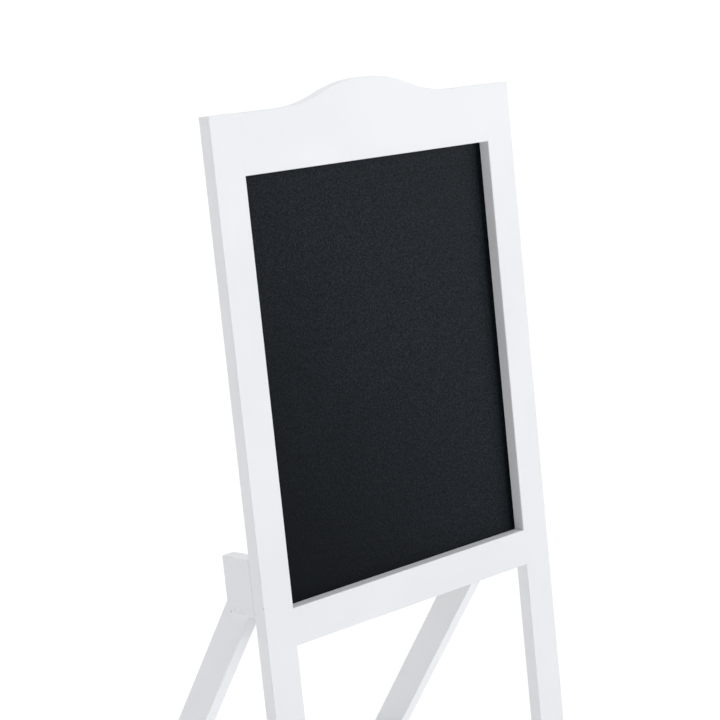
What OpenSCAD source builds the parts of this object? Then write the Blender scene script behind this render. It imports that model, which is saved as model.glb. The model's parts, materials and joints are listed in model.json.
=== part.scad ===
// Free-standing easel: a framed chalkboard on two stiles, with a rear stand
// that folds flat behind them on two bolted pivots.
// X runs across the easel, Y from front to back and Z up. The origin is on
// the floor, at the middle of the box that the standing easel fills.

/* [Front frame] */
// Overall width of the front frame
frame_w = 470; // [400:1:560]
// Thickness of the board that the frame is cut from
stock_t = 18; // [16:0.5:22]
// Width of each stile
stile_w = 43; // [40:1:60]
// Height of the bottom rail
bottom_rail_h = 45; // [40:1:70]
// Height of the top rail at its shoulders
top_rail_h = 70; // [55:1:110]
// Height of the opening that shows the chalkboard
opening_h = 494; // [350:1:650]
// Length of stile below the bottom rail
foot_len = 480; // [380:1:600]
// Lean of the front frame from upright, in degrees
lean = 10; // [5:0.5:16]

/* [Crown of the top rail] */
// Width of the raised crown
crown_span = 264; // [160:1:300]
// Height of the crown above the shoulders
crown_rise = 25; // [10:1:45]
// Distance from the middle to where the curve turns from round to hollow
crown_turn = 70; // [40:1:74]

/* [Chalkboard] */
// Thickness of the chalkboard panel
board_t = 3; // [2.5:0.5:5]
// Width of the rebate that the panel lies in
rebate_w = 8; // [7:0.5:12]
// Play between the panel's edges and the rebate
board_play = 0.5; // [0.2:0.1:1]
// Screws that hold the panel along each stile
stile_screws = 4; // [2:1:6]
// Screws that hold the panel along each rail
rail_screws = 3; // [2:1:5]
// First stile screw to the corner of the opening
stile_screw_inset = 80; // [70:1:120]
// First rail screw to the corner of the opening
rail_screw_inset = 40; // [30:1:80]
// Diameter of the panel screws
screw_d = 3; // [2.5:0.1:3.5]
// Length of the panel screws under the head
screw_len = 12; // [8:0.5:14]
// Diameter of the panel screws' heads
screw_head_d = 6; // [5:0.1:6.5]
// Height of the panel screws' heads
screw_head_h = 2; // [1.4:0.1:2.4]

/* [Hinge cheeks] */
// Thickness of the cheek blocks
cheek_t = 18; // [16:0.5:22]
// Depth of the cheek blocks behind the stiles
cheek_depth = 49; // [44:1:70]
// Height of the cheek blocks
cheek_h = 68; // [60:1:100]
// Lower end of the cheeks below the opening's lower edge
cheek_drop = 3; // [0:1:20]
// Pivot behind the back of the stiles
pivot_back = 25; // [22:0.5:30]
// Pivot above the lower end of the cheeks
pivot_up = 39; // [34:1:50]

/* [Rear stand] */
// Slope of the rear legs from upright, in degrees
splay = 27; // [20:0.5:32]
// Width of the rear legs, seen from the side
leg_w = 40; // [34:1:48]
// Thickness of the rear legs
leg_t = 18; // [16:0.5:22]
// Top end of the rear legs above the pivot
leg_head = 20; // [18:0.5:26]
// Radius of the legs' upper rear corner
leg_head_r = 12; // [4:0.5:16]
// Gap that the legs' stop bevels keep to the stiles
stop_gap = 0.3; // [0.2:0.1:1]
// Height of the stretcher board
stretcher_h = 45; // [36:1:70]
// Thickness of the stretcher board
stretcher_t = 18; // [16:0.5:22]
// Length of leg below the stretcher
stretcher_up = 120; // [80:1:200]

/* [Dowels] */
// Diameter of the wooden dowels
dowel_d = 8; // [6:0.5:9]
// Length of the dowels between rails and stiles
rail_dowel_len = 40; // [30:1:50]
// Length of the dowels in the cheeks and the stretcher
short_dowel_len = 30; // [24:1:36]
// Depth of the short dowels in the thinner piece
short_dowel_depth = 12; // [9:0.5:13]
// Glue room at each end of a dowel
glue_room = 1; // [0.5:0.1:1.5]
// Dowel spacing in the bottom rail, the cheeks and the stretcher
dowel_pitch = 22; // [18:1:24]
// Dowel spacing in the top rail
top_dowel_pitch = 36; // [24:1:40]

/* [Pivot hardware] */
// Diameter of the pivot bolts
bolt_d = 6; // [5:0.5:8]
// Running clearance of the bolts in the legs, on the radius
bolt_play = 0.05; // [0.02:0.01:0.1]
// Length of the bolts under the head
bolt_len = 30; // [28:1:34]
// Diameter of the bolt heads
bolt_head_d = 15; // [12:0.5:18]
// Thickness of the bolt heads
bolt_head_h = 2.6; // [2:0.1:4]
// Width across flats of the bolts' hexagon sockets
socket_af = 4; // [3:0.5:5]
// Depth of the bolts' hexagon sockets
socket_depth = 2; // [1.4:0.1:2]
// Outer diameter of the threaded inserts
insert_d = 10; // [9:0.5:12]
// Length of the threaded inserts
insert_len = 13; // [11:0.5:14]
// Diameter of the washers
washer_d = 17; // [15:0.5:20]
// Thickness of the nylon washers between cheek and leg
spacer_t = 1; // [0.5:0.1:2]
// Thickness of the steel washers under the bolt heads
washer_t = 1.2; // [0.8:0.1:1.6]
// Radial clearance of the washers on the bolts
washer_play = 0.2; // [0.1:0.05:0.4]
// Side play of each leg between its washers
leg_play = 0.2; // [0.1:0.05:0.4]

/* [Foot glides] */
// Diameter of the foot glides
glide_d = 14; // [10:0.5:15]
// Thickness of the foot glides
glide_h = 3; // [2:0.5:5]
// Diameter of the glides' nails
glide_nail_d = 2; // [1.5:0.1:2.5]
// Length of the glides' nails
glide_nail_len = 14; // [10:1:20]

/* [Hidden] */
eps = 0.5;
$fn = 48;
ARC_STEPS = 14;
// Diameter of the panel screws' blunt points
SCREW_POINT = 0.2;
// Width, and length and depth over the head's size, of the cross recess
CROSS_W = 0.8;
CROSS_SPAN = 0.55;
CROSS_DEPTH = 0.6;
// Bevel round the glides' lower edge
GLIDE_BEVEL = 1;
// Wood kept between the cheek dowels and the ends of the cheeks
DOWEL_COVER = 8;

WHITE = [0.94, 0.94, 0.95];
SLATE = [0.11, 0.12, 0.13];
BEECH = [0.80, 0.64, 0.44];
ZINC = [0.72, 0.73, 0.75];
BRASS = [0.78, 0.64, 0.32];
NYLON = [0.88, 0.88, 0.86];

// Heights along the stiles, from the floor end of their front face
opening_z = foot_len + bottom_rail_h;
opening_top = opening_z + opening_h;
stile_len = opening_top + top_rail_h;
opening_w = frame_w - 2 * stile_w;
cheek_z = opening_z - cheek_drop;
pivot_n = stock_t + pivot_back;
pivot_u = cheek_z + pivot_up;

// The rear stand's place: the pivot's height over the legs' feet, and how
// far behind the front feet it and the rear feet stand
fold_angle = lean + splay;
pivot_y = pivot_n * cos(lean) + pivot_u * sin(lean);
pivot_h = pivot_u * cos(lean) - pivot_n * sin(lean);
rear_foot_y = pivot_y + pivot_h * tan(splay);
depth = rear_foot_y + leg_w / 2 / cos(splay);
front_foot_y = stock_t / 2 / cos(lean);
stretcher_v = stretcher_up - pivot_h / cos(splay);

// Places across the easel, all on its left half
stile_x = -frame_w / 2;
leg_x = stile_x + cheek_t + spacer_t + leg_play;
leg_inner_x = leg_x + leg_t;
head_washer_x = leg_inner_x + leg_play;
bolt_head_x = head_washer_x + washer_t;

// Cheek dowel centre to the end of the cheek
dowel_end = dowel_d / 2 + DOWEL_COVER;
// Radius of the screw heads' dome
dome_r = (screw_head_d * screw_head_d / 4 + screw_head_h * screw_head_h) / (2 * screw_head_h);

// Puts a shape given in the front frame's own axes in its place: X across,
// Y through the stock, Z up along the stiles
module in_frame() {
    translate([0, -depth / 2, glide_h]) rotate([-lean, 0, 0]) children();
}

// Puts a shape given in the rear stand's own axes in its place: the pivot is
// the origin, and Z runs up along the legs
module in_stand() {
    translate([0, pivot_y - depth / 2, glide_h + pivot_h]) rotate([splay, 0, 0]) children();
}

module on_right() {
    mirror([1, 0, 0]) children();
}

// Extrudes an outline drawn in Y and Z from x to x + w
module across(x, w) {
    translate([x, 0, 0]) rotate([90, 0, 90]) linear_extrude(w) children();
}

// Round bar or hole along X, from x to x + len
module bar_x(x, d, len) {
    translate([x, 0, 0]) rotate([0, 90, 0]) cylinder(d = d, h = len);
}

// Round bar or hole along Y, from y to y + len
module bar_y(y, d, len) {
    translate([0, y, 0]) rotate([-90, 0, 0]) cylinder(d = d, h = len);
}

// Both places of a pair spaced along Z
module pair_z(pitch) {
    for (side = [-1, 1]) translate([0, 0, side * pitch / 2]) children();
}

// --- Dowels; extra is the glue room that a hole has past each end ---

module left_rail_dowels(extra = 0) {
    len = rail_dowel_len + 2 * extra;
    x = stile_x + stile_w - len / 2;
    translate([0, stock_t / 2, opening_z - bottom_rail_h / 2])
        pair_z(dowel_pitch) bar_x(x, dowel_d, len);
    translate([0, stock_t / 2, opening_top + top_rail_h / 2])
        pair_z(top_dowel_pitch) bar_x(x, dowel_d, len);
}

module left_cheek_dowels(extra = 0) {
    for (z = [dowel_end, cheek_h - dowel_end])
        translate([stile_x + cheek_t / 2, 0, cheek_z + z])
            bar_y(stock_t - short_dowel_depth - extra, dowel_d, short_dowel_len + 2 * extra);
}

module left_stretcher_dowels(extra = 0) {
    translate([0, 0, stretcher_v + stretcher_h / 2])
        pair_z(dowel_pitch)
            bar_x(leg_inner_x - short_dowel_depth - extra, dowel_d, short_dowel_len + 2 * extra);
}

// --- Chalkboard screws ---

function spread(low, high, count) =
    [for (i = [0 : count - 1]) low + (high - low) * i / (count - 1)];

// Puts its children at each panel screw, on the frame's back and in line
module at_board_screws() {
    x = opening_w / 2 + rebate_w / 2;
    for (side = [-1, 1], z = spread(stile_screw_inset, opening_h - stile_screw_inset, stile_screws))
        translate([side * x, stock_t, opening_z + z]) children();
    x_end = opening_w / 2 - rail_screw_inset;
    for (z = [opening_z - rebate_w / 2, opening_top + rebate_w / 2], x = spread(-x_end, x_end, rail_screws))
        translate([x, stock_t, z]) children();
}

module board_screw() {
    tip = screw_d;
    rotate([90, 0, 0]) {
        cylinder(d = screw_d, h = screw_len - tip);
        translate([0, 0, screw_len - tip]) cylinder(d1 = screw_d, d2 = SCREW_POINT, h = tip);
    }
    difference() {
        rotate([-90, 0, 0]) rotate_extrude() intersection() {
            square([screw_head_d / 2, screw_head_h]);
            // Dome that meets the panel at the head's edge
            translate([0, screw_head_h - dome_r]) circle(r = dome_r);
        }
        for (turn = [0, 90]) translate([0, screw_head_h, 0]) rotate([0, turn, 0])
            cube([screw_head_d * CROSS_SPAN, screw_head_h * 2 * CROSS_DEPTH, CROSS_W], center = true);
    }
}

module board_screw_holes(d, len) {
    at_board_screws() rotate([90, 0, 0]) translate([0, 0, -eps]) cylinder(d = d, h = len + eps);
}

// --- Feet ---

// Mushroom-shaped nail-in glide, standing on the floor
module glide() {
    cylinder(d1 = glide_d - 2 * GLIDE_BEVEL, d2 = glide_d, h = GLIDE_BEVEL);
    translate([0, 0, GLIDE_BEVEL]) cylinder(d = glide_d, h = glide_h - GLIDE_BEVEL);
    translate([0, 0, glide_h]) cylinder(d = glide_nail_d, h = glide_nail_len);
}

module at_front_left_glide() {
    translate([stile_x + stile_w / 2, front_foot_y - depth / 2, 0]) children();
}

module at_rear_left_glide() {
    translate([leg_x + leg_t / 2, rear_foot_y - depth / 2, 0]) children();
}

module glide_nail_hole() {
    translate([0, 0, glide_h - eps]) cylinder(d = glide_nail_d, h = glide_nail_len + eps);
}

// --- Front frame ---

// Rebate for the panel, behind the opening and past it on all sides
module panel_rebate() {
    translate([-opening_w / 2 - rebate_w, stock_t - board_t, opening_z - rebate_w])
        cube([opening_w + 2 * rebate_w, board_t + eps, opening_h + 2 * rebate_w]);
}

module stile_blank() {
    difference() {
        in_frame() difference() {
            across(stile_x, stile_w)
                polygon([[0, 0], [stock_t, stock_t * tan(lean)], [stock_t, stile_len], [0, stile_len]]);
            panel_rebate();
            left_rail_dowels(glue_room);
            left_cheek_dowels(glue_room);
            board_screw_holes(screw_d, screw_len);
        }
        at_front_left_glide() glide_nail_hole();
    }
}

module left_stile() {
    color(WHITE) stile_blank();
}

module right_stile() {
    color(WHITE) on_right() stile_blank();
}

function arc(centre, r, from, to) =
    [for (i = [0 : ARC_STEPS]) centre + r * [cos(from + (to - from) * i / ARC_STEPS),
                                             sin(from + (to - from) * i / ARC_STEPS)]];

// Right half of the crown's curve, from the middle down to the shoulder: a
// round arc and a hollow arc that meet at one slope
module top_rail_outline() {
    half = crown_span / 2;
    slope = 2 * atan(crown_rise / half);
    round_r = crown_turn / sin(slope);
    hollow_r = (half - crown_turn) / sin(slope);
    right = concat(
        arc([0, top_rail_h + crown_rise - round_r], round_r, 90, 90 - slope),
        arc([half, top_rail_h + hollow_r], hollow_r, 270 - slope, 270));
    points = [for (i = [0 : 2 * ARC_STEPS + 1]) if (i != ARC_STEPS) right[i]];
    left = [for (i = [len(points) - 1 : -1 : 1]) [-points[i].x, points[i].y]];
    end = opening_w / 2;
    polygon(concat([[-end, 0], [-end, top_rail_h]], left, points, [[end, top_rail_h], [end, 0]]));
}

module top_rail() {
    color(WHITE) in_frame() difference() {
        translate([0, stock_t, opening_top]) rotate([90, 0, 0]) linear_extrude(stock_t) top_rail_outline();
        panel_rebate();
        left_rail_dowels(glue_room);
        on_right() left_rail_dowels(glue_room);
        board_screw_holes(screw_d, screw_len);
    }
}

module bottom_rail() {
    color(WHITE) in_frame() difference() {
        translate([-opening_w / 2, 0, foot_len]) cube([opening_w, stock_t, bottom_rail_h]);
        panel_rebate();
        left_rail_dowels(glue_room);
        on_right() left_rail_dowels(glue_room);
        board_screw_holes(screw_d, screw_len);
    }
}

module rail_dowels() {
    color(BEECH) in_frame() {
        left_rail_dowels();
        on_right() left_rail_dowels();
    }
}

module chalkboard() {
    over = rebate_w - board_play;
    color(SLATE) in_frame() difference() {
        translate([-opening_w / 2 - over, stock_t - board_t, opening_z - over])
            cube([opening_w + 2 * over, board_t, opening_h + 2 * over]);
        board_screw_holes(screw_d, board_t + eps);
    }
}

module board_screws() {
    color(ZINC) in_frame() at_board_screws() board_screw();
}

// --- Hinge cheeks and pivots ---

// Puts its children, given about an axis along X, on the pivot
module at_pivot() {
    translate([0, pivot_n, pivot_u]) children();
}

module cheek_block() {
    in_frame() difference() {
        translate([stile_x, stock_t, cheek_z]) cube([cheek_t, cheek_depth, cheek_h]);
        left_cheek_dowels(glue_room);
        at_pivot() bar_x(stile_x + cheek_t - insert_len - glue_room, insert_d, insert_len + glue_room + eps);
    }
}

module left_hinge_cheek() {
    color(WHITE) cheek_block();
}

module right_hinge_cheek() {
    color(WHITE) on_right() cheek_block();
}

module cheek_dowels() {
    color(BEECH) in_frame() {
        left_cheek_dowels();
        on_right() left_cheek_dowels();
    }
}

module pivot_insert() {
    in_frame() at_pivot() difference() {
        bar_x(stile_x + cheek_t - insert_len, insert_d, insert_len);
        bar_x(stile_x + cheek_t - insert_len - eps, bolt_d, insert_len + 2 * eps);
    }
}

module left_pivot_insert() {
    color(BRASS) pivot_insert();
}

module right_pivot_insert() {
    color(BRASS) on_right() pivot_insert();
}

module pivot_bolt() {
    in_frame() at_pivot() difference() {
        union() {
            bar_x(bolt_head_x - bolt_len, bolt_d, bolt_len);
            bar_x(bolt_head_x, bolt_head_d, bolt_head_h);
        }
        translate([bolt_head_x + bolt_head_h - socket_depth, 0, 0]) rotate([0, 90, 0])
            cylinder(d = socket_af / cos(30), h = socket_depth + eps, $fn = 6);
    }
}

module left_pivot_bolt() {
    color(ZINC) pivot_bolt();
}

module right_pivot_bolt() {
    color(ZINC) on_right() pivot_bolt();
}

module pivot_washer(x, t) {
    in_frame() at_pivot() difference() {
        bar_x(x, washer_d, t);
        bar_x(x - eps, bolt_d + 2 * washer_play, t + 2 * eps);
    }
}

module left_spacer_washer() {
    color(NYLON) pivot_washer(stile_x + cheek_t, spacer_t);
}

module right_spacer_washer() {
    color(NYLON) on_right() pivot_washer(stile_x + cheek_t, spacer_t);
}

module left_head_washer() {
    color(ZINC) pivot_washer(head_washer_x, washer_t);
}

module right_head_washer() {
    color(ZINC) on_right() pivot_washer(head_washer_x, washer_t);
}

module front_left_glide() {
    color(NYLON) at_front_left_glide() glide();
}

module front_right_glide() {
    color(NYLON) on_right() at_front_left_glide() glide();
}

// --- Rear stand ---

// Side outline of a leg, cut level at the foot and rounded at the top's rear
module leg_outline() {
    half = leg_w / 2;
    function foot_v(w) = -(pivot_h + w * sin(splay)) / cos(splay);
    polygon(concat(
        [[-half, foot_v(-half)], [half, foot_v(half)]],
        arc([half - leg_head_r, leg_head - leg_head_r], leg_head_r, 0, 90),
        [[-half, leg_head]]));
}

// Space in front of the plane where the open leg bears on the stile's back,
// as deep as a leg and reaching from below the pivot to past the leg's top
module stop_cut() {
    below = leg_w;
    above = leg_head + leg_w;
    rotate([-fold_angle, 0, 0])
        translate([leg_x - eps, -pivot_back + stop_gap - leg_w, -below])
            cube([leg_t + 2 * eps, leg_w, below + above]);
}

module leg_blank() {
    difference() {
        in_stand() difference() {
            across(leg_x, leg_t) leg_outline();
            stop_cut();
            bar_x(leg_x - eps, bolt_d + 2 * bolt_play, leg_t + 2 * eps);
            left_stretcher_dowels(glue_room);
        }
        at_rear_left_glide() glide_nail_hole();
    }
}

module left_rear_leg() {
    color(WHITE) leg_blank();
}

module right_rear_leg() {
    color(WHITE) on_right() leg_blank();
}

module rear_stretcher() {
    color(WHITE) in_stand() difference() {
        translate([leg_inner_x, -stretcher_t / 2, stretcher_v]) cube([-2 * leg_inner_x, stretcher_t, stretcher_h]);
        left_stretcher_dowels(glue_room);
        on_right() left_stretcher_dowels(glue_room);
    }
}

module stretcher_dowels() {
    color(BEECH) in_stand() {
        left_stretcher_dowels();
        on_right() left_stretcher_dowels();
    }
}

module rear_left_glide() {
    color(NYLON) at_rear_left_glide() glide();
}

module rear_right_glide() {
    color(NYLON) on_right() at_rear_left_glide() glide();
}

left_stile();
right_stile();
top_rail();
bottom_rail();
rail_dowels();
chalkboard();
board_screws();
left_hinge_cheek();
right_hinge_cheek();
cheek_dowels();
left_pivot_insert();
right_pivot_insert();
left_pivot_bolt();
right_pivot_bolt();
left_spacer_washer();
right_spacer_washer();
left_head_washer();
right_head_washer();
front_left_glide();
front_right_glide();
left_rear_leg();
right_rear_leg();
rear_stretcher();
stretcher_dowels();
rear_left_glide();
rear_right_glide();
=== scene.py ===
"""Looks of a child's folding easel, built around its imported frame."""
import json
import logging
import math
from collections.abc import Callable, Iterator, Mapping, Sequence
from contextlib import contextmanager
from dataclasses import dataclass
from enum import Enum
from typing import Any

import bmesh
import bpy
from mathutils import Matrix, Vector


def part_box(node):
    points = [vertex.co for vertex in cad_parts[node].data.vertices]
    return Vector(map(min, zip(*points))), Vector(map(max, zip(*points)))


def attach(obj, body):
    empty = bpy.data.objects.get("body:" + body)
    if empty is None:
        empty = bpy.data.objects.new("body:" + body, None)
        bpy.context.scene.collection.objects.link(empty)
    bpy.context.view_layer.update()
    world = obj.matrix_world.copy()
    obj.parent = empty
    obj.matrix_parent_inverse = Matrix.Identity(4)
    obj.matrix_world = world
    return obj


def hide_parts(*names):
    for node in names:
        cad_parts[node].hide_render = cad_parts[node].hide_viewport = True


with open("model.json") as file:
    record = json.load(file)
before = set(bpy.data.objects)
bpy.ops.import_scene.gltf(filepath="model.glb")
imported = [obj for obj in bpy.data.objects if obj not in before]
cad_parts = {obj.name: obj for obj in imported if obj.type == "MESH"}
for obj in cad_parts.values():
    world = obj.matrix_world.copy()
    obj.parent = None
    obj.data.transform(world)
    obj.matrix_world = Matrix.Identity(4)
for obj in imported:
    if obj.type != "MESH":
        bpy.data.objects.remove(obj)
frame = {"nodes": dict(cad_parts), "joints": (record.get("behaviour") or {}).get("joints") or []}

LOG = logging.getLogger("easel")
MM = 0.001
TOLERANCE = 1e-5
# How far a carving tool reaches past the faces that it cuts through
PAST = 5 * MM
ACROSS = Vector((1, 0, 0))
BACK = Vector((0, 1, 0))
UP = Vector((0, 0, 1))
Corners = tuple[Vector, Vector]
Colour = tuple[float, float, float, float]
EdgeTest = Callable[[Vector, Vector], bool]


def mix_down(low: Vector, high: Vector) -> Vector:
    """Middle of two corners."""
    return (low + high) / 2


# --- Axes: where the CAD frame's tilted parts lie ---


@dataclass(frozen=True)
class Axes:
    """A tilted set of axes that pieces are built in before they are put in place.

    Args:
        matrix: takes a point in these axes to the row frame.
    """

    matrix: Matrix

    @classmethod
    def tilted(cls, origin: Vector, angle: float) -> "Axes":
        """Axes at an origin, turned about X by an angle in radians."""
        return cls(Matrix.Translation(origin) @ Matrix.Rotation(angle, 4, "X"))

    def box(self, node: str) -> Corners:
        """Corners of a CAD node's box in these axes.

        Args:
            node: the CAD node's name.

        Returns:
            The lowest and the highest corner, in metres.
        """
        inverse = self.matrix.inverted()
        points = [inverse @ vertex.co for vertex in frame["nodes"][node].data.vertices]
        low = Vector(min(p[i] for p in points) for i in range(3))
        high = Vector(max(p[i] for p in points) for i in range(3))
        return low, high

    def floor(self, height: float) -> Corners:
        """The level plane at a height over the floor, in these axes.

        Args:
            height: the plane's height in the row frame.

        Returns:
            A point of the plane and its normal, which looks down.
        """
        origin = self.matrix.translation
        point = self.matrix.inverted() @ Vector((origin.x, origin.y, height))
        return point, self.matrix.to_3x3().inverted() @ -UP


LEAN = math.radians(10)
FOLD_JOINT = frame["joints"][0]
SPLAY = math.radians(FOLD_JOINT["range_deg"][1]) - LEAN
FOOT_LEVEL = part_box("left_stile")[0].z
FRAME_AXES = Axes.tilted(Vector((0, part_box("left_stile")[0].y, FOOT_LEVEL)), -LEAN)
STAND_AXES = Axes.tilted(Vector(FOLD_JOINT["pos_m"]), SPLAY)
ROW_AXES = Axes(Matrix.Identity(4))


class Body(Enum):
    """The two bodies that a piece may ride on."""

    FRAME = "front_frame"
    STAND = "rear_stand"


# --- Shader sockets and nodes ---


@dataclass(frozen=True)
class Value:
    """A number socket of a shader, with Python's own arithmetic.

    Args:
        shader: the shader that the socket belongs to.
        socket: the output socket.
    """

    shader: "Shader"
    socket: bpy.types.NodeSocket

    def _maths(self, operation: str, first: "Value | float", second: "Value | float") -> "Value":
        """Adds a Math node that joins two values."""
        node = self.shader.node("ShaderNodeMath", {"operation": operation}, {0: first, 1: second})
        return Value(self.shader, node.outputs[0])

    def __add__(self, other: "Value | float") -> "Value":
        """Sum."""
        return self._maths("ADD", self, other)

    def __sub__(self, other: "Value | float") -> "Value":
        """Difference."""
        return self._maths("SUBTRACT", self, other)

    def __rsub__(self, other: float) -> "Value":
        """Difference from a number."""
        return self._maths("SUBTRACT", other, self)

    def __mul__(self, other: "Value | float") -> "Value":
        """Product."""
        return self._maths("MULTIPLY", self, other)

    __radd__ = __add__
    __rmul__ = __mul__


class Nodes:
    """A node tree that is built up one node at a time.

    Args:
        tree: the tree.
    """

    def __init__(self, tree: bpy.types.NodeTree) -> None:
        """Takes the tree."""
        self.tree = tree

    def node(self, kind: str, settings: Mapping[str, Any] | None = None,
             inputs: Mapping[int | str, Any] | None = None) -> bpy.types.Node:
        """Adds any node.

        Args:
            kind: the node's type.
            settings: its properties, which are set first.
            inputs: the values or links of its sockets, by name or number.

        Returns:
            The node.
        """
        made = self.tree.nodes.new(kind)
        for key, value in (settings or {}).items():
            setattr(made, key, value)
        for key, value in (inputs or {}).items():
            self.feed(made.inputs[key], value)
        return made

    def feed(self, socket: bpy.types.NodeSocket, value: Any) -> None:
        """Links a socket or sets its number or colour.

        Args:
            socket: the input socket.
            value: a value, a socket, a number or a colour.
        """
        if isinstance(value, Value):
            value = value.socket
        if isinstance(value, bpy.types.NodeSocket):
            self.tree.links.new(value, socket)
        else:
            socket.default_value = value

    def blend(self, factor: Any, first: Any, second: Any) -> bpy.types.NodeSocket:
        """Mixes two colours or sockets: a factor of 0 gives the first and 1 the second."""
        made = self.node("ShaderNodeMix", {"data_type": "RGBA"}, {0: factor, 6: first, 7: second})
        return made.outputs[2]


class Shader(Nodes):
    """A material and its node tree.

    Args:
        name: the material's name.
    """

    def __init__(self, name: str) -> None:
        """Makes the material, with its surface and its coordinates."""
        self.material = bpy.data.materials.new(name)
        self.material.use_nodes = True
        super().__init__(self.material.node_tree)
        self.surface = self.tree.nodes["Principled BSDF"]
        self.coordinates = self.node("ShaderNodeTexCoord").outputs["Object"]

    def noise(self, scale: float, detail: float = 2.0, stretch: Vector = Vector((1, 1, 1)),
              turn: float = 0.0) -> Value:
        """A noise pattern fixed to the piece.

        Args:
            scale: features per metre.
            detail: finer octaves.
            stretch: the pattern's scale along each axis, after the turn.
            turn: angle about X that lays the pattern along a tilted piece, in radians.

        Returns:
            A value from 0 to 1, about 0.5 on average.
        """
        turned = self.node("ShaderNodeMapping", {"vector_type": "TEXTURE"},
                           {"Vector": self.coordinates, "Rotation": (turn, 0, 0),
                            "Scale": tuple(1 / s for s in stretch)})
        made = self.node("ShaderNodeTexNoise", None,
                         {"Vector": turned.outputs[0], "Scale": scale, "Detail": detail})
        return Value(self, made.outputs["Fac"])

    def ramp(self, value: Value, low: float, high: float) -> Value:
        """Spreads a value's stretch from low to high over 0 to 1, and clamps it."""
        made = self.node("ShaderNodeMapRange", {"interpolation_type": "SMOOTHSTEP"},
                         {"Value": value, "From Min": low, "From Max": high})
        return Value(self, made.outputs["Result"])

    def place(self, axis: str) -> Value:
        """A point's place along one axis of the row frame, in metres."""
        parts = self.node("ShaderNodeSeparateXYZ", None, {0: self.coordinates})
        return Value(self, parts.outputs[axis])

    def attribute(self, name: str) -> Value:
        """A value stored on the piece's points."""
        made = self.node("ShaderNodeAttribute", {"attribute_name": name})
        return Value(self, made.outputs["Fac"])

    def bump(self, height: Value, distance: float, strength: float = 1.0) -> None:
        """Feeds a height from 0 to 1, with its depth in metres, to the surface's normal."""
        made = self.node("ShaderNodeBump", None,
                         {"Height": height, "Distance": distance, "Strength": strength})
        self.tree.links.new(made.outputs["Normal"], self.surface.inputs["Normal"])

    def paint(self, **sockets: Any) -> None:
        """Feeds the surface's sockets; an underscore stands for a space."""
        for key, value in sockets.items():
            self.feed(self.surface.inputs[key.replace("_", " ")], value)


# --- Finishes ---


class Run(Enum):
    """Which way a board's grain runs."""

    UP_FRAME = "up_frame"
    ACROSS = "across"
    UP_STAND = "up_stand"

    def turn(self) -> float:
        """Angle about X of a board with this grain, in radians."""
        return {Run.UP_FRAME: -LEAN, Run.ACROSS: -LEAN, Run.UP_STAND: SPLAY}[self]

    def stretch(self, share: float) -> Vector:
        """Scale along each axis of a pattern whose scale along the grain is this share."""
        return Vector((share, 1, 1)) if self is Run.ACROSS else Vector((1, 1, share))


@dataclass(frozen=True)
class WhiteLacquer:
    """Sprayed white satin lacquer on wood, thin on the arrises.

    Args:
        run: which way the grain runs.
        white: colour of the thick coat.
        shaded_white: colour of its darker clouds.
        thin_white: colour where it is rubbed thin.
        bare: colour of the wood in the chips.
        roughness: roughness of the whole coat.
        grain_share: the grain's features per metre along it, of those across it.
        rubbed: how far the arrises are rubbed thin.
        chips_from: how rare the chips are, as a level of their noise.
        chip_fade: how soft the chips' edges are, on the same scale.
        chip_cover: how much of the lacquer's colour a chip takes away.
        relief: height of the orange peel and the grain.
        darkened: heights between which a lower end flecked with the chips' colour fades out.
    """

    run: Run
    white: Colour = (0.752, 0.766, 0.784, 1)
    shaded_white: Colour = (0.728, 0.741, 0.760, 1)
    thin_white: Colour = (0.66, 0.63, 0.57, 1)
    bare: Colour = (0.36, 0.28, 0.19, 1)
    roughness: float = 0.40
    grain_share: float = 0.035
    rubbed: float = 0.45
    chips_from: float = 0.745
    chip_fade: float = 0.03
    chip_cover: float = 0.8
    relief: float = 0.05 * MM
    darkened: tuple[float, float] | None = None

    def make(self) -> bpy.types.Material:
        """Builds the material.

        Returns:
            The material.
        """
        shader = Shader(f"white_lacquer_{self.run.value}")
        cloud = shader.noise(7, 3)
        grain = shader.noise(420, 3, self.run.stretch(self.grain_share), self.run.turn())
        peel = shader.noise(620, 1.5)
        arris = shader.attribute(ARRIS)
        rub = shader.noise(90, 4)
        chip = shader.noise(210, 2)
        thin = arris * shader.ramp(rub, 0.45, 0.75)
        open_to_chips = arris
        # Below the first given height the chips' colour may fleck the faces too, not only the
        # arrises, so the lower end is darker towards the bottom.
        if self.darkened:
            open_to_chips = 1 - (1 - arris) * shader.ramp(shader.place("Z"), *self.darkened)
        chip_level = (self.chips_from, self.chips_from + self.chip_fade)
        chipped = open_to_chips * shader.ramp(chip, *chip_level)
        coat = shader.blend(shader.ramp(cloud, 0.3, 0.7), self.white, self.shaded_white)
        worn = shader.blend(thin * self.rubbed, coat, self.thin_white)
        shader.paint(Base_Color=shader.blend(chipped * self.chip_cover, worn, self.bare),
                     Roughness=self.roughness + 0.10 * rub - 0.06 * grain + 0.2 * chipped)
        shader.bump(peel * 0.45 + grain * 0.55, self.relief, 0.6)
        return shader.material


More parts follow.
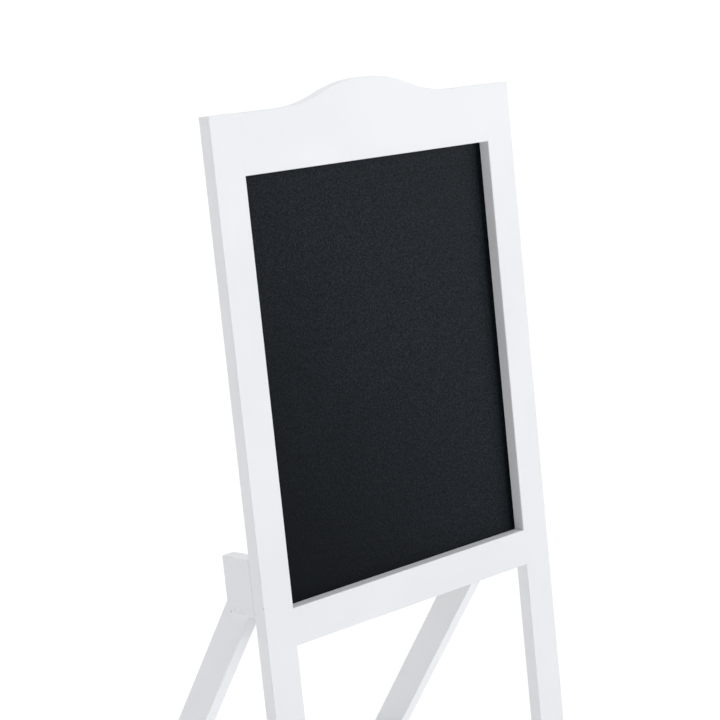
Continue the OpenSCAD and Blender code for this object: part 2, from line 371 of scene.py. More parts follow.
@dataclass(frozen=True)
class ChalkPaint:
    """Matt charcoal chalkboard paint, rolled on and speckled with chalk dust, with a painted sheen
    and a painted shadow.

    Args:
        ground: the paint's own colour.
        dust_and_sheen_colour: its colour under chalk dust and under the painted sheen.
        roughness: roughness between the stipple's dots.
        sheen_level: strength of its shine.
        painted_shadow_band: places across the easel between which the painted sheen fades out,
            leaving a painted shadow along the right stile.
        relief: height of the rolled-on stipple.
    """

    ground: Colour = (0.0004, 0.0018, 0.0034, 1)
    dust_and_sheen_colour: Colour = (0.0215, 0.0300, 0.0385, 1)
    roughness: float = 0.30
    sheen_level: float = 0.045
    painted_shadow_band: tuple[float, float] = (181 * MM, 187 * MM)
    relief: float = 0.55 * MM

    def make(self) -> bpy.types.Material:
        """Builds the material.

        Returns:
            The material.
        """
        shader = Shader("chalkboard_paint")
        speckle = shader.noise(450, 5)
        stipple = shader.noise(520, 2)
        sheen_wobble = shader.noise(6, 4, Vector((1.6, 1, 1)))
        across = shader.place("X")
        # Painted sheen: the lighter colour is laid on thickly towards the right and the top and
        # thins out at the lower left, standing in for the shine of the light on the board.
        slope = across * 2.6 + shader.place("Z") * 2.08 + 0.5 * sheen_wobble
        # Painted shadow: next to the right stile the lighter colour is taken away, leaving a dark
        # band where the stile shades the board.
        painted_sheen = shader.ramp(slope, 0.75, 2.15) * (1 - shader.ramp(across, *self.painted_shadow_band))
        dust_and_sheen = painted_sheen * (0.12 + 0.48 * shader.ramp(speckle, 0.36, 0.72)) + 0.06 * speckle
        shader.paint(Base_Color=shader.blend(dust_and_sheen, self.ground, self.dust_and_sheen_colour),
                     Roughness=self.roughness + 0.18 * stipple,
                     Specular_IOR_Level=self.sheen_level)
        shader.bump(stipple * 0.5 + speckle * 0.5, self.relief)
        return shader.material


@dataclass(frozen=True)
class Hardboard:
    """Bare brown back of the panel, with its pressed mesh.

    Args:
        pale: colour of the light fibres.
        dark: colour of the dark fibres.
        mesh_scale: wires per metre of the pressed mesh.
        relief: height of the mesh and the fibres.
    """

    pale: Colour = (0.225, 0.125, 0.062, 1)
    dark: Colour = (0.115, 0.060, 0.030, 1)
    mesh_scale: float = 520
    relief: float = 0.25 * MM

    def make(self) -> bpy.types.Material:
        """Builds the material.

        Returns:
            The material.
        """
        shader = Shader("hardboard_back")
        fibre = shader.noise(260, 6)
        blotch = shader.noise(14, 3)
        weave = shader.node("ShaderNodeTexVoronoi", {"distance": "MANHATTAN"},
                            {"Vector": shader.coordinates, "Scale": self.mesh_scale})
        mesh = Value(shader, weave.outputs["Distance"])
        shade = shader.ramp(fibre, 0.3, 0.7) * 0.5 + shader.ramp(blotch, 0.2, 0.8) * 0.22
        shader.paint(Base_Color=shader.blend(shade, self.pale, self.dark),
                     Roughness=0.70 + 0.18 * fibre)
        shader.bump(mesh * 0.7 + fibre * 0.3, self.relief)
        return shader.material


@dataclass(frozen=True)
class Metal:
    """Plated or plain metal with fine turning marks.

    Args:
        name: the material's name.
        bright: its colour where it is clean.
        dull: its colour where it has dulled.
        roughness: roughness between the marks.
        relief: depth of the marks.
    """

    name: str
    bright: Colour
    dull: Colour
    roughness: float = 0.30
    relief: float = 0.02 * MM

    def make(self) -> bpy.types.Material:
        """Builds the material.

        Returns:
            The material.
        """
        shader = Shader(self.name)
        cloud = shader.noise(240, 3)
        marks = shader.noise(2600, 2, Vector((1, 0.12, 1)))
        shader.paint(Base_Color=shader.blend(shader.ramp(cloud, 0.3, 0.7), self.bright, self.dull),
                     Roughness=self.roughness + 0.14 * marks + 0.08 * cloud, Metallic=1.0)
        shader.bump(marks, self.relief, 0.5)
        return shader.material


@dataclass(frozen=True)
class Nylon:
    """Milky moulded plastic of the glides and washers.

    Args:
        milk: its own colour.
        darkened: its colour where it is scuffed.
        relief: height of the moulded skin.
    """

    milk: Colour = (0.80, 0.80, 0.77, 1)
    darkened: Colour = (0.56, 0.55, 0.51, 1)
    relief: float = 0.03 * MM

    def make(self) -> bpy.types.Material:
        """Builds the material.

        Returns:
            The material.
        """
        shader = Shader("moulded_nylon")
        scuff = shader.ramp(shader.noise(380, 4), 0.56, 0.70)
        skin = shader.noise(1500, 2)
        shader.paint(Base_Color=shader.blend(scuff * 0.5, self.milk, self.darkened),
                     Roughness=0.42 + 0.14 * skin + 0.12 * scuff)
        shader.bump(skin, self.relief)
        return shader.material


@dataclass(frozen=True)
class Beech:
    """Bare beech of the dowels, with flecks drawn out across the easel.

    Args:
        pale: colour of the wood.
        dark: colour of its flecks.
        relief: depth of the flecks.
    """

    pale: Colour = (0.62, 0.42, 0.24, 1)
    dark: Colour = (0.43, 0.26, 0.13, 1)
    relief: float = 0.06 * MM

    def make(self) -> bpy.types.Material:
        """Builds the material.

        Returns:
            The material.
        """
        shader = Shader("bare_beech")
        fleck = shader.noise(900, 4, Vector((0.08, 1, 1)))
        shader.paint(Base_Color=shader.blend(shader.ramp(fleck, 0.35, 0.65), self.pale, self.dark),
                     Roughness=0.62 + 0.15 * fleck)
        shader.bump(fleck, self.relief)
        return shader.material


# --- The bench: modelling steps on one piece ---

ARRIS = "arris"
# Closeness of a face's normal to a flat face's, from which it counts as flat
FLAT_COSINE = math.cos(math.radians(4))
# Smallest flat face that is levelled, in square metres
FLAT_AREA = 0.5e-4
# Closeness of a face's normal to a direction, from which it looks that way
LOOKING_COSINE = 0.99
# Bluntest edge that is rounded over
EASED_ANGLE = 0.5
# Sharpest edge that is shaded as a curve
SMOOTH_ANGLE = math.radians(40)
# Pull of the broad faces on the shading of the points between them
FACE_PULL = 100


class Piece:
    """One mesh object and the steps that shape it.

    Args:
        obj: the mesh object.
    """

    def __init__(self, obj: bpy.types.Object) -> None:
        """Takes the object."""
        self.obj = obj

    @staticmethod
    def clear_selection() -> None:
        """Leaves edit mode and selects nothing."""
        active = bpy.context.view_layer.objects.active
        if active is not None and active.mode != "OBJECT":
            bpy.ops.object.mode_set(mode="OBJECT")
        bpy.ops.object.select_all(action="DESELECT")

    @classmethod
    def take_active(cls, name: str) -> "Piece":
        """Wraps the primitive just added, with its place moved into its mesh.

        Args:
            name: the piece's name.

        Returns:
            The piece.
        """
        obj = bpy.context.view_layer.objects.active
        obj.name = name
        obj.data.name = name
        bpy.ops.object.transform_apply(location=True, rotation=True, scale=True)
        obj.data.attributes.new(ARRIS, "FLOAT", "POINT")
        return cls(obj)

    @classmethod
    def block(cls, name: str, low: Vector, high: Vector) -> "Piece":
        """A squared block.

        Args:
            name: the piece's name.
            low: its lowest corner.
            high: its highest corner.

        Returns:
            The piece.
        """
        cls.clear_selection()
        bpy.ops.mesh.primitive_cube_add(size=1, location=mix_down(low, high), scale=high - low)
        return cls.take_active(name)

    @classmethod
    def round_bar(cls, name: str, radius: float, start: Vector, end: Vector,
                  sides: int = 48) -> "Piece":
        """A round or many-sided bar between two points.

        Args:
            name: the piece's name.
            radius: its radius.
            start: middle of its first end.
            end: middle of its other end.
            sides: number of sides.

        Returns:
            The piece.
        """
        cls.clear_selection()
        turn = (end - start).to_track_quat("Z", "Y").to_euler()
        bpy.ops.mesh.primitive_cylinder_add(
            vertices=sides, radius=radius, depth=(end - start).length,
            location=mix_down(start, end), rotation=turn)
        return cls.take_active(name)

    def select(self) -> None:
        """Selects this piece alone, and makes it active."""
        self.clear_selection()
        self.obj.select_set(True)
        bpy.context.view_layer.objects.active = self.obj

    @contextmanager
    def editing(self) -> Iterator[bmesh.types.BMesh]:
        """Edit mode on this piece alone, with nothing selected.

        Returns:
            The mesh being edited.
        """
        self.select()
        bpy.ops.object.mode_set(mode="EDIT")
        bpy.ops.mesh.select_all(action="DESELECT")
        yield bmesh.from_edit_mesh(self.obj.data)
        bpy.ops.object.mode_set(mode="OBJECT")

    def ease(self, radius: float, test: EdgeTest = lambda a, b: True, segments: int = 3,
             worn: bool = True) -> "Piece":
        """Rounds edges over.

        Args:
            radius: width taken off each face.
            test: true for an edge that is rounded, by its two ends.
            segments: facets of the rounding.
            worn: whether the rounding can show wear.

        Returns:
            This piece.
        """
        flats = {tuple(round(c, 3) for c in face.normal) for face in self.obj.data.polygons}
        with self.editing() as mesh:
            bpy.ops.mesh.select_mode(type="EDGE")
            picked = [edge for edge in mesh.edges if edge.calc_face_angle(0) > EASED_ANGLE
                      and test(edge.verts[0].co, edge.verts[1].co)]
            for edge in picked:
                edge.select_set(True)
            mesh.select_flush_mode()
            bmesh.update_edit_mesh(self.obj.data)
            if picked:
                bpy.ops.mesh.bevel(offset=radius, segments=segments, profile=0.5, affect="EDGES")
            if picked and worn:
                self.mark_arrises([Vector(flat) for flat in flats])
        return self

    def mark_arrises(self, flats: Sequence[Vector]) -> None:
        """Marks the points that lie inside a rounding, while the piece is edited.

        Args:
            flats: normals of the flat faces, which no rounding has.
        """
        mesh = bmesh.from_edit_mesh(self.obj.data)
        layer = mesh.verts.layers.float[ARRIS]
        rounded = {face for face in mesh.faces
                   if all(face.normal @ flat < FLAT_COSINE for flat in flats)}
        for vertex in mesh.verts:
            if vertex.link_faces and rounded.issuperset(vertex.link_faces):
                vertex[layer] = 1.0
        bmesh.update_edit_mesh(self.obj.data)

    def saw(self, point: Vector, normal: Vector, drop_past: bool = False) -> None:
        """Cuts through the piece.

        Args:
            point: a point of the cut.
            normal: the cut's direction.
            drop_past: whether what lies past the cut, along the normal, is taken away.
        """
        with self.editing():
            bpy.ops.mesh.select_all(action="SELECT")
            bpy.ops.mesh.bisect(plane_co=point, plane_no=normal, use_fill=drop_past,
                                clear_outer=drop_past)

    def carve(self, tool: "Piece") -> None:
        """Takes a tool's shape out of this piece, and uses the tool up.

        Args:
            tool: the tool.
        """
        cut = self.obj.modifiers.new("carve", "BOOLEAN")
        cut.operation = "DIFFERENCE"
        cut.solver = "EXACT"
        cut.object = tool.obj
        self.apply("carve")
        bpy.data.objects.remove(tool.obj)

    def apply(self, modifier: str) -> None:
        """Applies a modifier to the mesh."""
        self.select()
        bpy.ops.object.modifier_apply(modifier=modifier)

    def extend(self, towards: Vector, inset: float, length: float,
               end_scale: float = 1.0) -> None:
        """Draws a narrower stem out of the piece's end face.

        Args:
            towards: the direction that the face looks.
            inset: how much narrower the stem is, all round.
            length: the stem's length.
            end_scale: size of its far end, of its near end.
        """
        with self.editing() as mesh:
            bpy.ops.mesh.select_mode(type="FACE")
            reach = max(vertex.co @ towards for vertex in mesh.verts) - TOLERANCE
            for face in mesh.faces:
                outermost = face.calc_center_median() @ towards > reach
                if outermost and face.normal @ towards > LOOKING_COSINE:
                    face.select_set(True)
            bmesh.update_edit_mesh(self.obj.data)
            if inset:
                bpy.ops.mesh.inset(thickness=inset)
            bpy.ops.mesh.extrude_region_move(TRANSFORM_OT_translate={"value": towards * length})
            if end_scale != 1.0:
                bpy.ops.transform.resize(value=(end_scale,) * 3)

    def copy(self, name: str) -> "Piece":
        """A copy with its own mesh.

        Args:
            name: the copy's name.

        Returns:
            The copy.
        """
        obj = self.obj.copy()
        obj.data = self.obj.data.copy()
        obj.name = name
        obj.data.name = name
        bpy.context.scene.collection.objects.link(obj)
        return Piece(obj)

    def mirrored(self, name: str) -> "Piece":
        """A copy on the other side of the easel, with its faces turned outwards again.

        Args:
            name: the copy's name.

        Returns:
            The copy.
        """
        other = self.copy(name)
        other.obj.data.transform(Matrix.Scale(-1, 4, (1, 0, 0)))
        other.obj.data.flip_normals()
        return other

    def move(self, matrix: Matrix) -> "Piece":
        """Moves the mesh itself; the object stays at the origin."""
        self.obj.data.transform(matrix)
        return self

    def join(self, others: Sequence["Piece"]) -> None:
        """Takes other pieces into this one.

        Args:
            others: the other pieces.
        """
        self.select()
        for other in others:
            other.obj.select_set(True)
        bpy.ops.object.join()

    def level_flats(self) -> None:
        """Gives each broad flat face one even normal, so that no rounding's end shades it."""
        mesh = self.obj.data
        marks = mesh.attributes[ARRIS].data
        normals = [corner.vector.copy() for corner in mesh.corner_normals]
        for face in mesh.polygons:
            if face.area > FLAT_AREA and not any(marks[i].value > 0 for i in face.vertices):
                for corner in face.loop_indices:
                    normals[corner] = face.normal.copy()
        mesh.normals_split_custom_set(normals)

    def finish(self, axes: Axes, body: Body, materials: Sequence[bpy.types.Material], slot: str,
               *nodes: str) -> None:
        """Puts the piece in place, shades and dresses it, and rides it on its body.

        Args:
            axes: the axes that it was built in.
            body: the body that it moves with.
            materials: its materials.
            slot: the record's material slot; not used.
            nodes: the CAD nodes that it stands for.
        """
        self.move(axes.matrix)
        self.select()
        bpy.ops.object.shade_smooth_by_angle(angle=SMOOTH_ANGLE)
        weighted = self.obj.modifiers.new("weigh", "WEIGHTED_NORMAL")
        weighted.keep_sharp = True
        weighted.weight = FACE_PULL
        self.apply("weigh")
        self.level_flats()
        for material in materials:
            self.obj.data.materials.append(material)
        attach(self.obj, body.value)
        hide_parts(*nodes)
        faces = len(self.obj.data.polygons)
        LOG.info("%s: %d faces, rides on %s", self.obj.name, faces, body.value)

    def finish_both(self, axes: Axes, body: Body, material: bpy.types.Material, slot: str,
                    node: str) -> None:
        """Finishes this left piece and its mirror image on the right.

        Args:
            axes: the axes that it was built in.
            body: the body that both move with.
            material: their material.
            slot: the record's material slot.
            node: the left CAD node that it stands for.
        """
        other = self.mirrored(self.obj.name.replace("left", "right"))
        self.finish(axes, body, [material], slot, node)
        other.finish(axes, body, [material], slot, node.replace("left", "right"))


def near(a: float, b: float) -> bool:
    """Whether two places are the same."""
    return abs(a - b) < TOLERANCE


# --- Front frame ---


@dataclass
class FrontFrame:
    """Two stiles and two rails around the chalkboard.

    Args:
        arris: radius of the eased edges.
        joint_gap: hairline between a rail's end and its stile.
        crown_span: width of the raised crown.
        crown_turn: distance from the middle to where the curve turns hollow.
        crown_columns: steps along the top rail.
        panel_play: play between the panel and its rebate.
        stile: the left stile's corners.
        bottom: the bottom rail's corners.
        top: the top rail's corners, with the crown.
        panel: the chalkboard's corners.
    """

    arris: float = 1.2 * MM
    joint_gap: float = 0.05 * MM
    crown_span: float = 264 * MM
    crown_turn: float = 70 * MM
    crown_columns: int = 128
    panel_play: float = 0.5 * MM
    stile: Corners = FRAME_AXES.box("left_stile")
    bottom: Corners = FRAME_AXES.box("bottom_rail")
    top: Corners = FRAME_AXES.box("top_rail")
    panel: Corners = FRAME_AXES.box("chalkboard")

    def rebate(self) -> Piece:
        """The space that the panel lies in, as a carving tool."""
        play = Vector((self.panel_play, 0, self.panel_play))
        return Piece.block("rebate", self.panel[0] - play, self.panel[1] + play + BACK * PAST)

    def build_stiles(self) -> None:
        """Makes both stiles, eased only where no rail joins them."""
        low, high = self.stile
        stile = Piece.block("left_stile_board", low, high)
        stile.saw(*FRAME_AXES.floor(FOOT_LEVEL), drop_past=True)
        joints = (self.bottom[0].z, self.bottom[1].z, self.top[0].z)
        for height in joints:
            stile.saw(UP * height, UP)

        def is_free(a: Vector, b: Vector) -> bool:
            """Whether no rail covers an edge."""
            middle = mix_down(a, b)
            in_bottom = joints[0] < middle.z < joints[1]
            return not near(middle.x, high.x) or not (in_bottom or middle.z > joints[2])

        stile.ease(self.arris, is_free)
        stile.carve(self.rebate())
        lacquer = WhiteLacquer(Run.UP_FRAME).make()
        stile.finish_both(FRAME_AXES, Body.FRAME, lacquer, "lacquer", "left_stile")

    def crown_height(self, x: float) -> float:
        """Height of the top rail's edge over its shoulders.

        Args:
            x: place across the easel.

        Returns:
            The height: a round arc in the middle, a hollow arc either side, then flat.
        """
        rise = self.top[1].z - self.stile[1].z
        half = self.crown_span / 2
        slope = 2 * math.atan(rise / half)
        round_r = self.crown_turn / math.sin(slope)
        hollow_r = (half - self.crown_turn) / math.sin(slope)
        x = abs(x)
        if x <= self.crown_turn:
            return rise - round_r + math.sqrt(round_r**2 - x**2)
        if x < half:
            return hollow_r - math.sqrt(hollow_r**2 - (half - x) ** 2)
        return 0.0

    def build_top_rail(self) -> None:
        """Makes the top rail from a strip whose upper edge follows the crown."""
        low, high = self.top
        gap = ACROSS * self.joint_gap
        low, high = low + gap, high - gap
        shoulder = self.stile[1].z
        Piece.clear_selection()
        bpy.ops.mesh.primitive_grid_add(
            x_subdivisions=self.crown_columns, y_subdivisions=1, size=1,
            location=(0, low.y, (low.z + shoulder) / 2), rotation=(math.pi / 2, 0, 0))
        bpy.ops.transform.resize(value=(high.x - low.x, 1, shoulder - low.z))
        rail = Piece.take_active("top_rail_board")
        with rail.editing() as mesh:
            for vertex in mesh.verts:
                if near(vertex.co.z, shoulder):
                    vertex.co.z += self.crown_height(vertex.co.x)
            bmesh.update_edit_mesh(rail.obj.data)
            bpy.ops.mesh.select_all(action="SELECT")
            depth = BACK * (high.y - low.y)
            bpy.ops.mesh.extrude_region_move(TRANSFORM_OT_translate={"value": depth})
            bpy.ops.mesh.select_all(action="SELECT")
            bpy.ops.mesh.normals_make_consistent(inside=False)
        rail.ease(self.arris, lambda a, b: near(a.y, b.y) and not near(a.x, b.x))
        rail.carve(self.rebate())
        lacquer = WhiteLacquer(Run.ACROSS).make()
        rail.finish(FRAME_AXES, Body.FRAME, [lacquer], "lacquer", "top_rail")

    def build_bottom_rail(self) -> None:
        """Makes the bottom rail, eased along its length."""
        gap = ACROSS * self.joint_gap
        rail = Piece.block("bottom_rail_board", self.bottom[0] + gap, self.bottom[1] - gap)
        rail.ease(self.arris, lambda a, b: not near(a.x, b.x))
        rail.carve(self.rebate())
        lacquer = WhiteLacquer(Run.ACROSS).make()
        rail.finish(FRAME_AXES, Body.FRAME, [lacquer], "lacquer", "bottom_rail")

    def build(self) -> None:
        """Makes the whole frame."""
        self.build_stiles()
        self.build_top_rail()
        self.build_bottom_rail()


@dataclass
class Chalkboard:
    """The panel in its rebate and the screws that hold it.

    Args:
        arris: radius of the panel's edges.
        back_cosine: closeness of a face's normal to +Y, from which it is left bare.
        head_r: radius of a screw's head.
        head_h: height of a screw's head.
        shank_r: radius of a screw's shank.
        shank_len: length of a screw under the head.
        dome: share of the head's height that is rounded.
        recess: length and depth of the cross recess, of the head's.
        recess_w: width of the cross recess.
        tip_len: length of a screw's point.
        tip_scale: size of the point's end, of the shank.
        turn_step: turn from each screw to the next, in degrees.
        stile_inset: first stile screw to the opening's corner.
        rail_inset: first rail screw to the opening's corner.
        stile_count: screws along each stile.
        rail_count: screws along each rail.
    """

    arris: float = 0.25 * MM
    back_cosine: float = 0.9
    head_r: float = 3 * MM
    head_h: float = 2 * MM
    shank_r: float = 1.5 * MM
    shank_len: float = 12 * MM
    dome: float = 0.75
    recess: float = 0.55
    recess_w: float = 0.8 * MM
    tip_len: float = 3 * MM
    tip_scale: float = 0.1
    turn_step: float = 37
    stile_inset: float = 80 * MM
    rail_inset: float = 40 * MM
    stile_count: int = 4
    rail_count: int = 3

    def build_panel(self) -> None:
        """Makes the panel: chalkboard paint in front and on the edges, bare behind."""
        low, high = FRAME_AXES.box("chalkboard")
        panel = Piece.block("chalkboard_panel", low, high).ease(self.arris, segments=2, worn=False)
        for face in panel.obj.data.polygons:
            face.material_index = 1 if face.normal.y > self.back_cosine else 0
        panel.finish(FRAME_AXES, Body.FRAME, [ChalkPaint().make(), Hardboard().make()],
                     "chalkboard", "chalkboard")

    def screw_places(self) -> list[Vector]:
        """Where the screws stand on the panel's back.

        Returns:
            Each screw's place, in the frame's axes.
        """
        bottom, top = FRAME_AXES.box("bottom_rail"), FRAME_AXES.box("top_rail")
        screws = FRAME_AXES.box("board_screws")
        side = screws[1].x - self.head_r
        rows = (screws[0].z + self.head_r, screws[1].z - self.head_r)
        back = FRAME_AXES.box("chalkboard")[1].y
        half = bottom[1].x - self.rail_inset
        ends = (bottom[1].z + self.stile_inset, top[0].z - self.stile_inset)
        places = [Vector((x, back, ends[0] + (ends[1] - ends[0]) * i / (self.stile_count - 1)))
                  for x in (-side, side) for i in range(self.stile_count)]
        places += [Vector((-half + 2 * half * i / (self.rail_count - 1), back, z))
                   for z in rows for i in range(self.rail_count)]
        return places

    def model_screw(self) -> Piece:
        """One pan-head screw with a cross recess.

        Returns:
            The screw, its head standing on the origin.
        """
        screw = Piece.round_bar("panel_screws", self.head_r, Vector(), BACK * self.head_h, 32)
        middle = self.head_h / 2
        screw.ease(self.head_h * self.dome, lambda a, b: min(a.y, b.y) > middle, segments=5)
        screw.extend(-BACK, self.head_r - self.shank_r, self.shank_len - self.tip_len)
        screw.extend(-BACK, 0, self.tip_len, self.tip_scale)
        slot = Vector((self.head_r * self.recess, self.head_h * self.recess, self.recess_w / 2))
        for across in (slot, Vector((slot.z, slot.y, slot.x))):
            top = BACK * self.head_h
            screw.carve(Piece.block("recess", top - across, top + across))
        return screw

    def build_screws(self) -> None:
        """Makes all the screws, each turned a little differently."""
        model = self.model_screw()
        copies = []
        for number, place in enumerate(self.screw_places()):
            turn = Matrix.Rotation(math.radians(self.turn_step * number % 90), 4, "Y")
            copies.append(model.copy(f"screw_{number}").move(Matrix.Translation(place) @ turn))
        bpy.data.objects.remove(model.obj)
        screws = copies[0]
        screws.join(copies[1:])
        screws.obj.name = "panel_screws"
        zinc = Metal("zinc_screws", (0.62, 0.63, 0.65, 1), (0.50, 0.50, 0.50, 1)).make()
        screws.finish(FRAME_AXES, Body.FRAME, [zinc], "zinc_steel", "board_screws")

    def build(self) -> None:
        """Makes the panel and its screws."""
        self.build_panel()
        self.build_screws()


# --- Hinges ---


@dataclass
class Hinges:
    """The cheek blocks behind the stiles, with their pivot bolts and washers.

    Args:
        arris: radius of the cheeks' eased edges.
        darkened: heights between which the darker flecks over the cheeks' lower ends fade out.
        cheek_chip_colour: colour of the cheeks' chips and of those flecks.
        chips_from: how rare the cheeks' chips are.
        socket_af: width across the bolts' hexagon sockets.
        socket_depth: depth of the sockets.
        bolt_r: radius of the bolts' shanks.
        head_r: radius of the bolts' heads.
        head_h: thickness of the bolts' heads.
        head_edge: rounding of the heads' edges.
        washer_bore_r: radius of the washers' holes.
        washer_edge: rounding of the washers' edges, of their thickness.
    """

    arris: float = 1.2 * MM
    darkened: tuple[float, float] = (508 * MM, 520 * MM)
    cheek_chip_colour: Colour = (0.46, 0.42, 0.36, 1)
    chips_from: float = 0.63
    socket_af: float = 4 * MM
    socket_depth: float = 2 * MM
    bolt_r: float = 3 * MM
    head_r: float = 7.5 * MM
    head_h: float = 2.6 * MM
    head_edge: float = 0.6 * MM
    washer_bore_r: float = 3.2 * MM
    washer_edge: float = 0.2

    def build_cheeks(self) -> None:
        """Makes both cheek blocks."""
        low, high = FRAME_AXES.box("left_hinge_cheek")
        cheek = Piece.block("left_cheek_block", low, high).ease(self.arris)
        # The cheeks' lower ends, where they meet the legs, are flecked darker in the chips'
        # colour.
        lacquer = WhiteLacquer(Run.UP_FRAME, bare=self.cheek_chip_colour, chips_from=self.chips_from,
                               darkened=self.darkened).make()
        cheek.finish_both(FRAME_AXES, Body.FRAME, lacquer, "lacquer", "left_hinge_cheek")

    def build_bolts(self) -> None:
        """Makes both pivot bolts: flat heads with hexagon sockets, shanks into the cheeks."""
        low, high = FRAME_AXES.box("left_pivot_bolt")
        centre = mix_down(low, high)
        outer = Vector((high.x, centre.y, centre.z))
        seat = outer - ACROSS * self.head_h
        bolt = Piece.round_bar("left_bolt", self.head_r, seat, outer)
        bolt.ease(self.head_edge, lambda a, b: near(a.x, b.x))
        bolt.extend(-ACROSS, self.head_r - self.head_edge - self.bolt_r, seat.x - low.x)
        bottom = outer - ACROSS * self.socket_depth
        hexagon_r = self.socket_af / 2 / math.cos(math.pi / 6)
        bolt.carve(Piece.round_bar("socket", hexagon_r, bottom, outer + ACROSS * PAST, 6))
        zinc = Metal("zinc_bolts", (0.66, 0.67, 0.69, 1), (0.54, 0.54, 0.55, 1), 0.24).make()
        bolt.finish_both(FRAME_AXES, Body.FRAME, zinc, "zinc_steel", "left_pivot_bolt")

    def build_washers(self, kind: str, slot: str, material: bpy.types.Material) -> None:
        """Makes a pair of washers.

        Args:
            kind: "spacer" or "head".
            slot: the record's material slot.
            material: their finish.
        """
        low, high = FRAME_AXES.box(f"left_{kind}_washer")
        centre = mix_down(low, high)
        start, end = (Vector((x, centre.y, centre.z)) for x in (low.x, high.x))
        past = ACROSS * PAST
        washer = Piece.round_bar(f"left_{kind}_ring", (high.y - low.y) / 2, start, end)
        edge = (end - start).length * self.washer_edge
        washer.ease(edge, lambda a, b: near(a.x, b.x), segments=2)
        washer.carve(Piece.round_bar("bore", self.washer_bore_r, start - past, end + past, 32))
        washer.finish_both(FRAME_AXES, Body.FRAME, material, slot, f"left_{kind}_washer")

    def build(self) -> None:
        """Makes the hinges on both sides."""
        self.build_cheeks()
        self.build_bolts()
        steel = Metal("zinc_washers", (0.64, 0.65, 0.66, 1), (0.52, 0.52, 0.52, 1), 0.28).make()
        self.build_washers("spacer", "nylon", Nylon().make())
        self.build_washers("head", "zinc_steel", steel)


# --- Rear stand ---


@dataclass
class RearStand:
    """Two legs and a stretcher that turn on the pivots.

    Args:
        arris: radius of the eased edges.
        head_round: radius of the legs' upper rear corner.
        stop_gap: gap between the legs' stop bevels and the stiles.
        bore_r: radius of the bolt holes.
    """

    arris: float = 1.2 * MM
    head_round: float = 12 * MM
    stop_gap: float = 0.3 * MM
    bore_r: float = 3.05 * MM

    def build_legs(self) -> None:
        """Makes both legs: level feet, a stop bevel in front and a rounded corner behind."""
        low, high = STAND_AXES.box("left_rear_leg")
        leg = Piece.block("left_leg_board", low, high)
        leg.saw(*STAND_AXES.floor(FOOT_LEVEL), drop_past=True)
        stile_back = FRAME_AXES.box("left_stile")[1].y + self.stop_gap
        to_stand = STAND_AXES.matrix.inverted() @ FRAME_AXES.matrix
        bearing = to_stand @ Vector((0, stile_back, 0))
        leg.saw(bearing, to_stand.to_3x3() @ -BACK, drop_past=True)

        def is_rear_corner(a: Vector, b: Vector) -> bool:
            """Whether an edge is the upper rear corner."""
            return all(near(p.y, high.y) and near(p.z, high.z) for p in (a, b))

        leg.ease(self.head_round, is_rear_corner, segments=10, worn=False)
        leg.ease(self.arris)
        past = ACROSS * PAST
        bore = (ACROSS * low.x - past, ACROSS * high.x + past)
        leg.carve(Piece.round_bar("bore", self.bore_r, *bore))
        lacquer = WhiteLacquer(Run.UP_STAND).make()
        leg.finish_both(STAND_AXES, Body.STAND, lacquer, "lacquer", "left_rear_leg")

    def build_stretcher(self) -> None:
        """Makes the stretcher between the legs, eased along its length."""
        low, high = STAND_AXES.box("rear_stretcher")
        stretcher = Piece.block("stretcher_board", low, high)
        stretcher.ease(self.arris, lambda a, b: not near(a.x, b.x))
        stretcher.finish(STAND_AXES, Body.STAND, [WhiteLacquer(Run.ACROSS).make()], "lacquer",
                         "rear_stretcher")

    def build(self) -> None:
        """Makes the whole stand."""
        self.build_legs()
        self.build_stretcher()


# --- Feet and inner pieces ---


@dataclass
class Glides:
    """The nail-in glides under the four feet.

    Args:
        rim: radius of the glides' rounded rims.
        nail_r: radius of a nail.
    """

    rim: float = 0.9 * MM
    nail_r: float = 1 * MM

    def build(self) -> None:
        """Makes the four glides from one."""
        nylon = Nylon().make()
        first = ROW_AXES.box("front_left_glide")
        centre = mix_down(*first)
        foot = Vector((centre.x, centre.y, 0))
        radius = (first[1].x - first[0].x) / 2
        model = Piece.round_bar("glide", radius, foot, foot + UP * FOOT_LEVEL)
        model.ease(self.rim, lambda a, b: near(a.z, b.z) and a.z < TOLERANCE, segments=4)
        model.extend(UP, radius - self.nail_r, first[1].z - FOOT_LEVEL)
        for end, body in (("front", Body.FRAME), ("rear", Body.STAND)):
            for side in ("left", "right"):
                node = f"{end}_{side}_glide"
                middle = mix_down(*ROW_AXES.box(node))
                step = Vector((middle.x - centre.x, middle.y - centre.y, 0))
                piece = model.copy(f"{end}_{side}_foot_glide").move(Matrix.Translation(step))
                piece.finish(ROW_AXES, body, [nylon], "nylon", node)
        bpy.data.objects.remove(model.obj)


@dataclass
class InnerPieces:
    """The hidden CAD nodes, which keep their shape and get their finish.

    Args:
        dowels: the wooden nodes.
        inserts: the brass nodes.
    """

    dowels: tuple[str, ...] = ("rail_dowels", "cheek_dowels", "stretcher_dowels")
    inserts: tuple[str, ...] = ("left_pivot_insert", "right_pivot_insert")

    def build(self) -> None:
        """Dresses the dowels and the inserts."""
        brass = Metal("brass_inserts", (0.70, 0.50, 0.20, 1), (0.52, 0.35, 0.13, 1), 0.34).make()
        finishes = ((self.dowels, Beech().make(), "dowel_wood"), (self.inserts, brass, "brass"))
        for nodes, material, slot in finishes:
            for node in nodes:
                obj = frame["nodes"][node]
                obj.data.materials.clear()
                obj.data.materials.append(material)
                LOG.info("%s: kept, dressed in %s", node, material.name)


# --- Studio ---


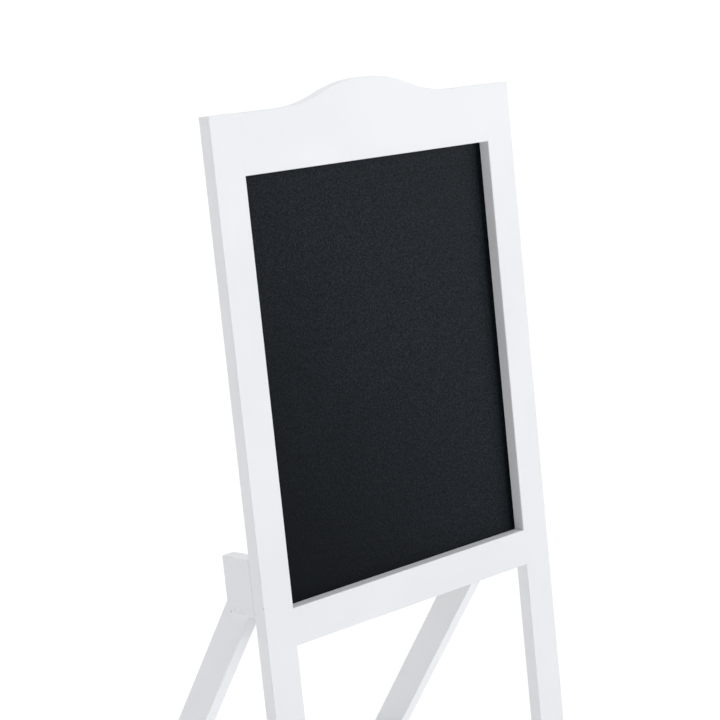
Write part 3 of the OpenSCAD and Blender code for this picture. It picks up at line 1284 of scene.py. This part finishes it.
@dataclass(frozen=True)
class Lamp:
    """A broad, even light.

    Args:
        name: the light's name.
        energy: its strength.
        spread: angle that it fills, in degrees.
        towards: the direction that it stands in.
        colour: its colour.
    """

    name: str
    energy: float
    spread: float
    towards: tuple[float, float, float]
    colour: tuple[float, float, float] = (1, 1, 1)

    def hang(self) -> None:
        """Adds the light, unseen by the camera."""
        data = bpy.data.lights.new(self.name, "SUN")
        data.energy = self.energy
        data.angle = math.radians(self.spread)
        data.color = self.colour
        light = bpy.data.objects.new(self.name, data)
        light.rotation_euler = (-Vector(self.towards)).to_track_quat("-Z", "Y").to_euler()
        light.visible_camera = False
        bpy.context.scene.collection.objects.link(light)


@dataclass(frozen=True)
class Studio:
    """Floor, light and camera.

    Args:
        camera_at: the camera's place.
        heading: its heading from +Y towards +X, in degrees.
        tilt: its tilt below the horizon, in degrees.
        roll: its roll, in degrees.
        lens: its focal length, in millimetres.
        sensor: width of its sensor, in millimetres.
        floor_half: half the floor's width.
        floor_drop: how far the floor lies under the feet.
        floor_white: the floor's colour.
        horizon_white: the surround's colour up to the first of sky_heights.
        zenith_grey: its colour from the second of sky_heights on.
        sky_heights: heights on the sky's unit sphere between which it fades.
        lamps: the lights.
    """

    camera_at: tuple[float, float, float] = (-1.516, -1.672, 1.399)
    heading: float = 42.63
    tilt: float = 16.01
    roll: float = 0.96
    lens: float = 96.2
    sensor: float = 36.0
    floor_half: float = 30.0
    floor_drop: float = 0.5 * MM
    floor_white: Colour = (0.92, 0.92, 0.92, 1)
    horizon_white: Colour = (1.0, 1.0, 1.0, 1)
    zenith_grey: Colour = (0.01, 0.01, 0.01, 1)
    sky_heights: tuple[float, float] = (0.14, 0.28)
    lamps: tuple[Lamp, ...] = (
        Lamp("overhead", 2.65, 60, (0, 0.2, 1)),
        Lamp("rim", 0.6, 50, (0.15, 1, 0.85)),
        Lamp("key", 1.78, 50, (1, -0.98, 0.36), (0.97, 0.985, 1)),
        Lamp("fill", 0.64, 60, (-1, -0.45, 0.12), (1, 0.95, 0.98)))

    def build_camera(self) -> None:
        """Adds the camera and makes it the scene's."""
        data = bpy.data.cameras.new("camera")
        data.lens = self.lens
        data.sensor_width = self.sensor
        camera = bpy.data.objects.new("camera", data)
        turn = (Matrix.Rotation(math.radians(-self.heading), 4, "Z")
                @ Matrix.Rotation(math.radians(90 - self.tilt), 4, "X")
                @ Matrix.Rotation(math.radians(self.roll), 4, "Z"))
        camera.matrix_world = Matrix.Translation(self.camera_at) @ turn
        bpy.context.scene.collection.objects.link(camera)
        bpy.context.scene.camera = camera

    def build_floor(self) -> None:
        """Adds the pale floor."""
        Piece.clear_selection()
        place = (0, 0, -self.floor_drop)
        bpy.ops.mesh.primitive_plane_add(size=2 * self.floor_half, location=place)
        floor = bpy.context.view_layer.objects.active
        floor.name = "floor"
        shader = Shader("pale_floor")
        shader.paint(Base_Color=self.floor_white, Roughness=0.8, Specular_IOR_Level=0.2)
        floor.data.materials.append(shader.material)

    def build_light(self) -> None:
        """Adds the surround, white at the horizon and grey overhead, and the lights."""
        scene = bpy.context.scene
        scene.view_settings.view_transform = "Standard"
        scene.world = bpy.data.worlds.new("studio")
        scene.world.use_nodes = True
        sky = Nodes(scene.world.node_tree)
        towards = sky.node("ShaderNodeTexCoord").outputs["Generated"]
        height = sky.node("ShaderNodeSeparateXYZ", None, {0: towards}).outputs["Z"]
        low, high = self.sky_heights
        fade = sky.node("ShaderNodeMapRange", None,
                        {"Value": height, "From Min": low, "From Max": high})
        shade = sky.blend(fade.outputs["Result"], self.horizon_white, self.zenith_grey)
        sky.feed(sky.tree.nodes["Background"].inputs["Color"], shade)
        for lamp in self.lamps:
            lamp.hang()

    def build(self) -> None:
        """Sets up the studio."""
        self.build_camera()
        self.build_floor()
        self.build_light()


def main() -> None:
    """Builds the easel's looks around its frame."""
    logging.basicConfig(level=logging.INFO, format="%(message)s")
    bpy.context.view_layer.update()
    FrontFrame().build()
    Chalkboard().build()
    Hinges().build()
    RearStand().build()
    Glides().build()
    InnerPieces().build()
    Studio().build()


if __name__ == "__main__":
    main()
